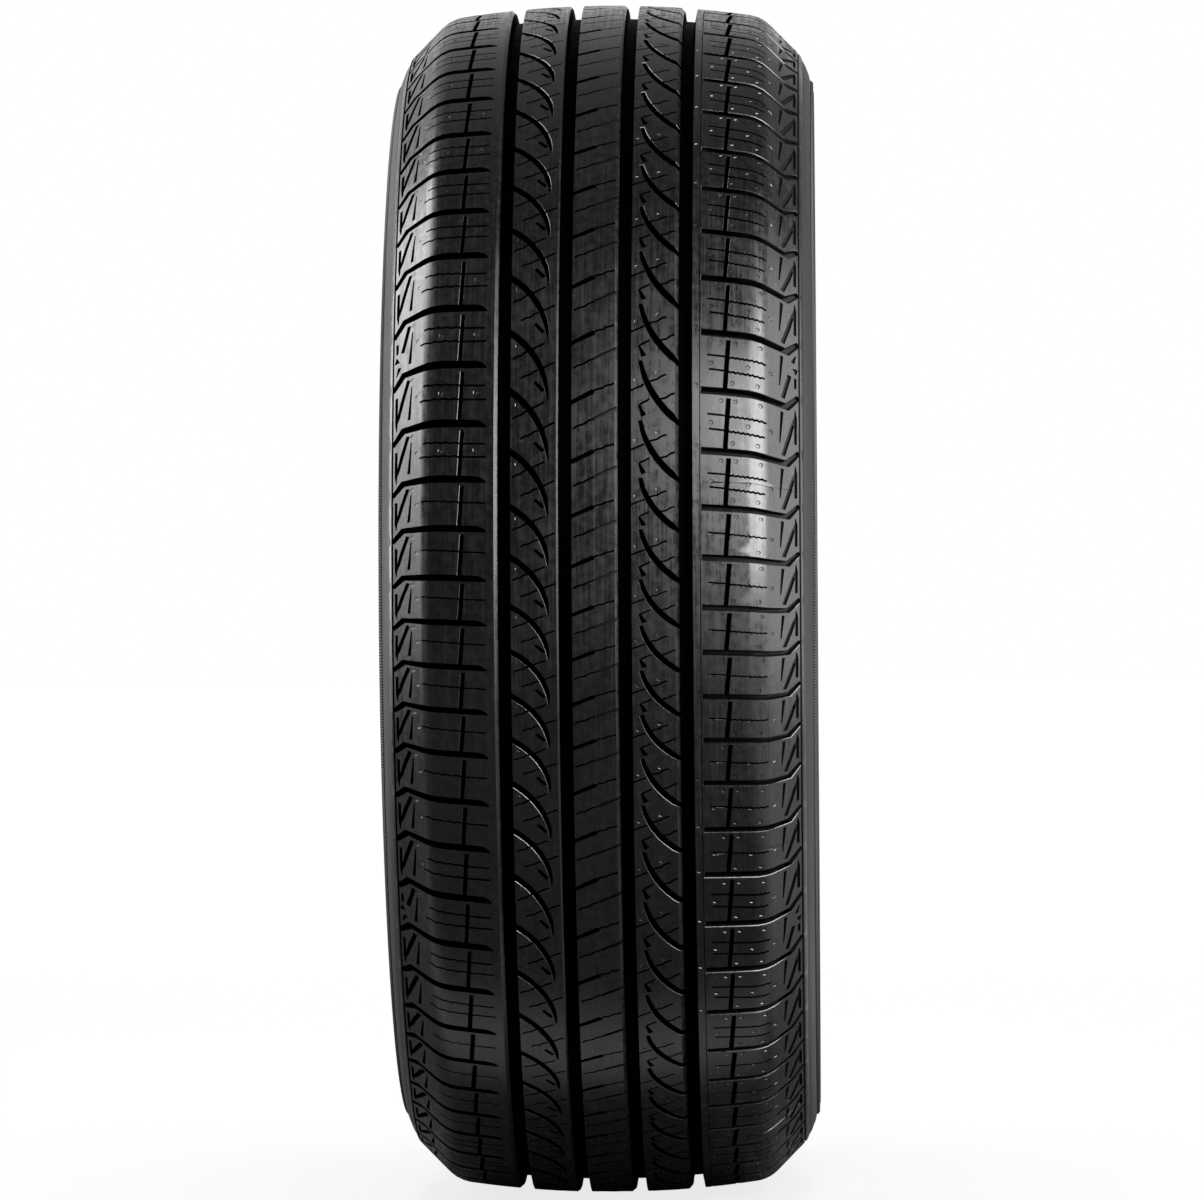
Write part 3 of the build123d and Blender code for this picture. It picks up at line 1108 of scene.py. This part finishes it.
def components(tree, vector):
    """The three parts of a vector. In the tyre's frame they run forwards, to the right and up."""
    parts = tree.nodes.new("ShaderNodeSeparateXYZ")
    tree.links.new(vector, parts.inputs[0])
    return parts.outputs["X"], parts.outputs["Y"], parts.outputs["Z"]


def object_place(tree):
    """The place of each point in its object's own frame, in metres."""
    return tree.nodes.new("ShaderNodeTexCoord").outputs["Object"]


def noise(tree, vector, scale, detail):
    """A noise texture's value, with its scale from a socket."""
    node = tree.nodes.new("ShaderNodeTexNoise")
    node.inputs["Detail"].default_value = detail
    tree.links.new(vector, node.inputs["Vector"])
    tree.links.new(scale, node.inputs["Scale"])
    return node.outputs["Fac"]


def mix_colour(tree, share, first, second):
    """Mixes two colours, each a socket or a plain colour. Returns the mix."""
    node = tree.nodes.new("ShaderNodeMix")
    node.data_type = "RGBA"
    tree.links.new(share, node.inputs["Factor"])
    colours = [socket for socket in node.inputs if socket.type == "RGBA"]
    for socket, value in zip(colours, (first, second)):
        if isinstance(value, bpy.types.NodeSocket):
            tree.links.new(value, socket)
        else:
            socket.default_value = (*value, 1.0)
    return [socket for socket in node.outputs if socket.type == "RGBA"][0]


def bump(tree, height, amount, normal=None):
    """A bump node's normal, from a height between 0 and 1 and the metres that it spans with its strength."""
    node = tree.nodes.new("ShaderNodeBump")
    node.inputs["Distance"].default_value, node.inputs["Strength"].default_value = amount
    tree.links.new(height, node.inputs["Height"])
    if normal is not None:
        tree.links.new(normal, node.inputs["Normal"])
    return node.outputs["Normal"]


def new_material(name, specular):
    """A material, its node tree and its Principled shader."""
    material = bpy.data.materials.new(name)
    material.use_nodes = True
    shader = material.node_tree.nodes["Principled BSDF"]
    shader.inputs["Specular IOR Level"].default_value = specular
    return material, material.node_tree, shader


def rubber_grain_group():
    """Fine grain, soft mottling, a thin bloom and faint streaks round the tyre, as on moulded rubber."""
    scales = {"Grain Scale": 900.0, "Mottle Scale": 140.0, "Bloom Scale": 9.0, "Streak Scale": 800.0}
    group, start, end = new_group("rubber_grain", scales, ["Grain", "Mottle", "Bloom", "Streaks"])
    place = object_place(group)
    stretch = group.nodes.new("ShaderNodeVectorMath")
    stretch.operation = "MULTIPLY"
    stretch.inputs[1].default_value = STREAK_STRETCH
    group.links.new(place, stretch.inputs[0])
    streaks = noise(group, stretch.outputs["Vector"], start.outputs["Streak Scale"], detail=2.0)
    group.links.new(map_range(group, streaks, STREAK_SPAN), end.inputs["Streaks"])
    group.links.new(noise(group, place, start.outputs["Grain Scale"], detail=2.0), end.inputs["Grain"])
    mottle = noise(group, place, start.outputs["Mottle Scale"], detail=4.0)
    group.links.new(map_range(group, mottle, MOTTLE_SPAN), end.inputs["Mottle"])
    bloom = noise(group, place, start.outputs["Bloom Scale"], detail=3.0)
    group.links.new(map_range(group, bloom, BLOOM_SPAN, smooth=True), end.inputs["Bloom"])
    return group


def mould_line(tree):
    """The low line that the mould's halves leave round the middle of the tread. Returns its height."""
    _, across, _ = components(tree, object_place(tree))
    away = math_node(tree, "ABSOLUTE", math_node(tree, "SUBTRACT", across, MOULD_LINE_PLACE))
    return map_range(tree, away, MOULD_LINE_SPAN, FALLING, smooth=True)


def bladder_lines(tree):
    """The slanted lines that the moulding bladder leaves in the liner. Returns their height."""
    x, _, z = components(tree, object_place(tree))
    squares = math_node(tree, "ADD", math_node(tree, "POWER", x, 2), math_node(tree, "POWER", z, 2))
    radius = math_node(tree, "SQRT", squares)
    turn = math_node(tree, "DIVIDE", math_node(tree, "ARCTAN2", z, x), 2 * math.pi)
    fan = math_node(tree, "MULTIPLY", turn, BLADDER_LINES)
    lean = math_node(tree, "MULTIPLY", radius, BLADDER_LEAN)
    wave = math_node(tree, "PINGPONG", math_node(tree, "ADD", fan, lean), 0.5)
    inner, outer = BLADDER_BAND
    above = math_node(tree, "SUBTRACT", radius, inner)
    below = math_node(tree, "SUBTRACT", outer, radius)
    nearest = math_node(tree, "MINIMUM", above, below)
    band = math_node(tree, "DIVIDE", nearest, BLADDER_SOFT_EDGE, clamp=True)
    return math_node(tree, "MULTIPLY", math_node(tree, "MULTIPLY", wave, 2.0), band)


def around(middle, change):
    """A range about a middle value, from the two changes to its ends."""
    low, high = change
    return middle + low, middle + high


def tread_material(looks, grain_group):
    """Tread rubber: a soft sheen on the ribs, with the mould's mottling."""
    material, tree, shader = new_material("tread_rubber", looks.specular)
    grain = place_group(tree, grain_group, TREAD_GRAIN)
    colour = mix_colour(tree, grain.outputs["Mottle"], looks.tread_colour, looks.bloom_colour)
    specks = map_range(tree, grain.outputs["Grain"], SPECK_SPAN)
    tree.links.new(mix_colour(tree, specks, colour, looks.speck_colour), shader.inputs["Base Color"])
    sheen = around(looks.tread_roughness, TREAD_BLOOM_ROUGHNESS)
    rough = map_range(tree, grain.outputs["Bloom"], RISING, sheen)
    mottle = map_range(tree, grain.outputs["Mottle"], RISING, TREAD_MOTTLE_ROUGHNESS)
    streaks = math_node(tree, "MULTIPLY", grain.outputs["Streaks"], TREAD_STREAK_ROUGHNESS)
    rough = math_node(tree, "ADD", math_node(tree, "ADD", rough, mottle), streaks)
    tree.links.new(rough, shader.inputs["Roughness"])
    normal = bump(tree, mould_line(tree), MOULD_LINE_BUMP)
    normal = bump(tree, grain.outputs["Mottle"], MOTTLE_BUMP, normal)
    normal = bump(tree, grain.outputs["Grain"], TREAD_GRAIN_BUMP, normal)
    tree.links.new(normal, shader.inputs["Normal"])
    return material


def groove_shade_material(looks, grain_group, name, specular):
    """Painted shade on the walls and floors of the grooves: a dull, near-black copy of the rubber with weak
    reflections, standing in for the shade down in the cuts.
    """
    material, tree, shader = new_material(name, specular)
    grain = place_group(tree, grain_group, TREAD_GRAIN)
    shader.inputs["Base Color"].default_value = (*looks.groove_shade_colour, 1.0)
    rough = map_range(tree, grain.outputs["Mottle"], RISING, GROOVE_ROUGHNESS)
    tree.links.new(rough, shader.inputs["Roughness"])
    return material


def sidewall_material(looks, grain_group):
    """Sidewall rubber: duller than the tread, with soft mottling."""
    material, tree, shader = new_material(SIDEWALL_RUBBER, looks.sidewall_specular)
    grain = place_group(tree, grain_group, SIDEWALL_GRAIN)
    face = mix_colour(tree, grain.outputs["Mottle"], looks.sidewall_colour, looks.bloom_colour)
    tree.links.new(face, shader.inputs["Base Color"])
    sheen = around(looks.sidewall_roughness, SIDEWALL_BLOOM_ROUGHNESS)
    tree.links.new(map_range(tree, grain.outputs["Bloom"], RISING, sheen), shader.inputs["Roughness"])
    normal = bump(tree, grain.outputs["Mottle"], MOTTLE_BUMP)
    normal = bump(tree, grain.outputs["Grain"], SIDEWALL_GRAIN_BUMP, normal)
    tree.links.new(normal, shader.inputs["Normal"])
    return material


def liner_material(looks, grain_group):
    """Inner liner: dull, with slanted lines."""
    material, tree, shader = new_material("liner_rubber", looks.specular)
    grain = place_group(tree, grain_group, LINER_GRAIN)
    face = mix_colour(tree, grain.outputs["Bloom"], looks.sidewall_colour, looks.bloom_colour)
    tree.links.new(face, shader.inputs["Base Color"])
    rough = map_range(tree, grain.outputs["Mottle"], RISING, LINER_ROUGHNESS)
    tree.links.new(rough, shader.inputs["Roughness"])
    normal = bump(tree, bladder_lines(tree), BLADDER_BUMP)
    normal = bump(tree, grain.outputs["Grain"], LINER_GRAIN_BUMP, normal)
    tree.links.new(normal, shader.inputs["Normal"])
    return material


class OBJECT_OT_build_tyre(bpy.types.Operator):
    """Build the tyre's tread, sidewalls, beads and liner as one closed rubber moulding"""

    bl_idname = "object.build_tyre"
    bl_label = "Build tyre"

    def execute(self, context):
        looks = context.scene.tyre_looks
        grain = rubber_grain_group()
        materials = {
            TREAD: tread_material(looks, grain),
            SIDEWALL: sidewall_material(looks, grain),
            LINER: liner_material(looks, grain),
            # The groove finishes are painted shade: near-black in deep cuts, and a lighter grey in shallow
            # and right-hand cuts, where the key light falls.
            GROOVE_SHADE: groove_shade_material(looks, grain, "groove_painted_shade", looks.groove_shade_specular),
            SHALLOW_GROOVE_SHADE: groove_shade_material(looks, grain, "shallow_groove_painted_shade", looks.shallow_shade_specular),
        }
        pattern = TreadPattern(context.scene.tread_sizes)
        tyre = TyreMesh(pattern).object("rubber_tyre", [materials[finish] for finish in sorted(materials)])
        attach(tyre, "root")
        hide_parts(TYRE_NODE)
        return {"FINISHED"}


class OBJECT_OT_build_sidewall_reliefs(bpy.types.Operator):
    """Build the rings and ribbed bands on both sidewalls, in the rubber of the tyre that is built first"""

    bl_idname = "object.build_sidewall_reliefs"
    bl_label = "Build sidewall reliefs"

    def execute(self, context):
        rubber = bpy.data.materials.get(SIDEWALL_RUBBER)
        if rubber is None:
            raise RuntimeError("the tyre has to be built before its sidewall reliefs")
        for side, name in ((-1, "left_sidewall_relief"), (1, "right_sidewall_relief")):
            relief = SidewallRelief(side).object(name, rubber)
            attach(relief, "root")
        return {"FINISHED"}


def facing(place, forward, up):
    """The transform of a camera or lamp at a place that looks along forward."""
    forward = Vector(forward).normalized()
    right = forward.cross(Vector(up)).normalized()
    true_up = right.cross(forward)
    turn = Matrix((right, true_up, -forward)).transposed()
    return Matrix.Translation(Vector(place)) @ turn.to_4x4()


def add_softbox(softbox, power):
    """A soft rectangular lamp. A highlight panel shows in reflections alone, and any other lamp lights
    without showing in them."""
    lamp = bpy.data.lights.new(softbox.name, "AREA")
    lamp.shape = "RECTANGLE"
    lamp.size, lamp.size_y = softbox.width, softbox.height
    lamp.energy = power
    made = new_object(softbox.name, lamp)
    made.matrix_world = facing(softbox.place, Vector(softbox.aim) - Vector(softbox.place), UP)
    made.visible_diffuse = not softbox.highlight
    made.visible_glossy = softbox.highlight


def seen_white(tree, mask):
    """1 for rays that show the white background: all that go straight to the camera, and mirrored ones or
    those through glass by the share that the mask gives."""
    rays = tree.nodes.new("ShaderNodeLightPath")
    mirrored = math_node(tree, "MAXIMUM", rays.outputs["Is Glossy Ray"], rays.outputs["Is Transmission Ray"])
    masked = math_node(tree, "MULTIPLY", mirrored, mask)
    return math_node(tree, "MAXIMUM", rays.outputs["Is Camera Ray"], masked)


class OBJECT_OT_build_studio(bpy.types.Operator):
    """Build the pale floor, the soft lamps and the camera"""

    bl_idname = "object.build_studio"
    bl_label = "Build studio"

    def execute(self, context):
        studio = context.scene.tyre_studio
        self.add_floor(studio)
        self.add_world(studio)
        add_softbox(KEY_PANEL, studio.key_power)
        add_softbox(LEFT_PANEL, studio.left_power)
        add_softbox(RIGHT_PANEL, studio.right_power)
        add_softbox(TOP_SOFTBOX, studio.top_power)
        self.add_camera(studio)
        context.scene.view_settings.view_transform = "Standard"
        return {"FINISHED"}

    def add_floor(self, studio):
        """A round pale floor under the tyre, kept white to the eye with the tyre's shadow on it."""
        material, tree, shader = new_material("pale_floor", 0.0)
        shader.inputs["Base Color"].default_value = (*studio.floor_colour, 1.0)
        shader.inputs["Roughness"].default_value = FLOOR_ROUGHNESS
        shader.inputs["Emission Color"].default_value = WHITE
        forward, right, _ = components(tree, tree.nodes.new("ShaderNodeNewGeometry").outputs["Position"])
        behind = map_range(tree, forward, FLOOR_BEHIND, FALLING)
        mask = math_node(tree, "MAXIMUM", behind, map_range(tree, right, FLOOR_RIGHT))
        strip_start = map_range(tree, forward, FOOT_STRIP_START, (0.0, FOOT_STRIP_WHITE))
        strip = math_node(tree, "MULTIPLY", strip_start, map_range(tree, forward, FOOT_STRIP_END, FALLING))
        mask = math_node(tree, "MAXIMUM", mask, strip)
        glow = map_range(tree, forward, FLOOR_GLOW_SPAN, FLOOR_GLOW)
        glow = math_node(tree, "MULTIPLY", seen_white(tree, mask), glow)
        tree.links.new(glow, shader.inputs["Emission Strength"])

        turns = np.linspace(0, 2 * math.pi, FLOOR_SIDES + 1)[:-1]
        reach = studio.floor_radius
        points = [(reach * math.cos(turn), reach * math.sin(turn), LOW_CORNER.z) for turn in turns]
        floor = new_object("floor", new_mesh("floor", points, [list(range(FLOOR_SIDES))], [material]))

    def add_world(self, studio):
        """A plain room light that shows as white behind the tyre."""
        world = bpy.data.worlds.new("studio")
        world.use_nodes = True
        bpy.context.scene.world = world
        tree = world.node_tree
        background = tree.nodes["Background"]
        background.inputs["Color"].default_value = WHITE
        forward, right, up = components(tree, tree.nodes.new("ShaderNodeTexCoord").outputs["Generated"])
        mask = map_range(tree, forward, ROOM_BEHIND, FALLING)
        for direction, span in ((right, ROOM_RIGHT), (up, ROOM_UP)):
            mask = math_node(tree, "MULTIPLY", mask, map_range(tree, direction, span, (1.0, ROOM_DIM)))
        strength = map_range(tree, seen_white(tree, mask), RISING, (studio.room_light, 1.0))
        tree.links.new(strength, background.inputs["Strength"])

    def add_camera(self, studio):
        """A long lens, level with the wheel's centre, that looks straight at the tread."""
        lens = bpy.data.cameras.new("camera")
        lens.sensor_fit = "HORIZONTAL"
        lens.sensor_width = CAMERA_SENSOR
        lens.lens = studio.focal_length
        camera = new_object("camera", lens)
        camera.matrix_world = facing(CAMERA_PLACE, CAMERA_FORWARD, CAMERA_UP)
        bpy.context.scene.camera = camera


class VIEW3D_PT_tyre(bpy.types.Panel):
    """The settings of the tyre and its studio, with a button for each operator"""

    bl_label = "Tyre"
    bl_idname = "VIEW3D_PT_tyre"
    bl_space_type = "VIEW_3D"
    bl_region_type = "UI"
    bl_category = "Tyre"

    def draw(self, context):
        scene = context.scene
        for settings in (scene.tread_sizes, scene.tyre_looks, scene.tyre_studio):
            box = self.layout.box()
            for name in settings.__annotations__:
                box.prop(settings, name)
        for operator in (OBJECT_OT_build_tyre, OBJECT_OT_build_sidewall_reliefs, OBJECT_OT_build_studio):
            self.layout.operator(operator.bl_idname)


CLASSES = (
    TreadSizes,
    TyreLooks,
    StudioSettings,
    OBJECT_OT_build_tyre,
    OBJECT_OT_build_sidewall_reliefs,
    OBJECT_OT_build_studio,
    VIEW3D_PT_tyre,
)


def register():
    """Registers the classes and hangs the settings on the scene."""
    for cls in CLASSES:
        bpy.utils.register_class(cls)
    bpy.types.Scene.tread_sizes = bpy.props.PointerProperty(type=TreadSizes)
    bpy.types.Scene.tyre_looks = bpy.props.PointerProperty(type=TyreLooks)
    bpy.types.Scene.tyre_studio = bpy.props.PointerProperty(type=StudioSettings)


def unregister():
    """Takes the settings and the classes away again."""
    del bpy.types.Scene.tyre_studio
    del bpy.types.Scene.tyre_looks
    del bpy.types.Scene.tread_sizes
    for cls in reversed(CLASSES):
        bpy.utils.unregister_class(cls)


def main():
    """Builds the tyre and its studio."""
    register()
    bpy.ops.object.build_tyre()
    bpy.ops.object.build_sidewall_reliefs()
    bpy.ops.object.build_studio()


if __name__ == "__main__":
    main()
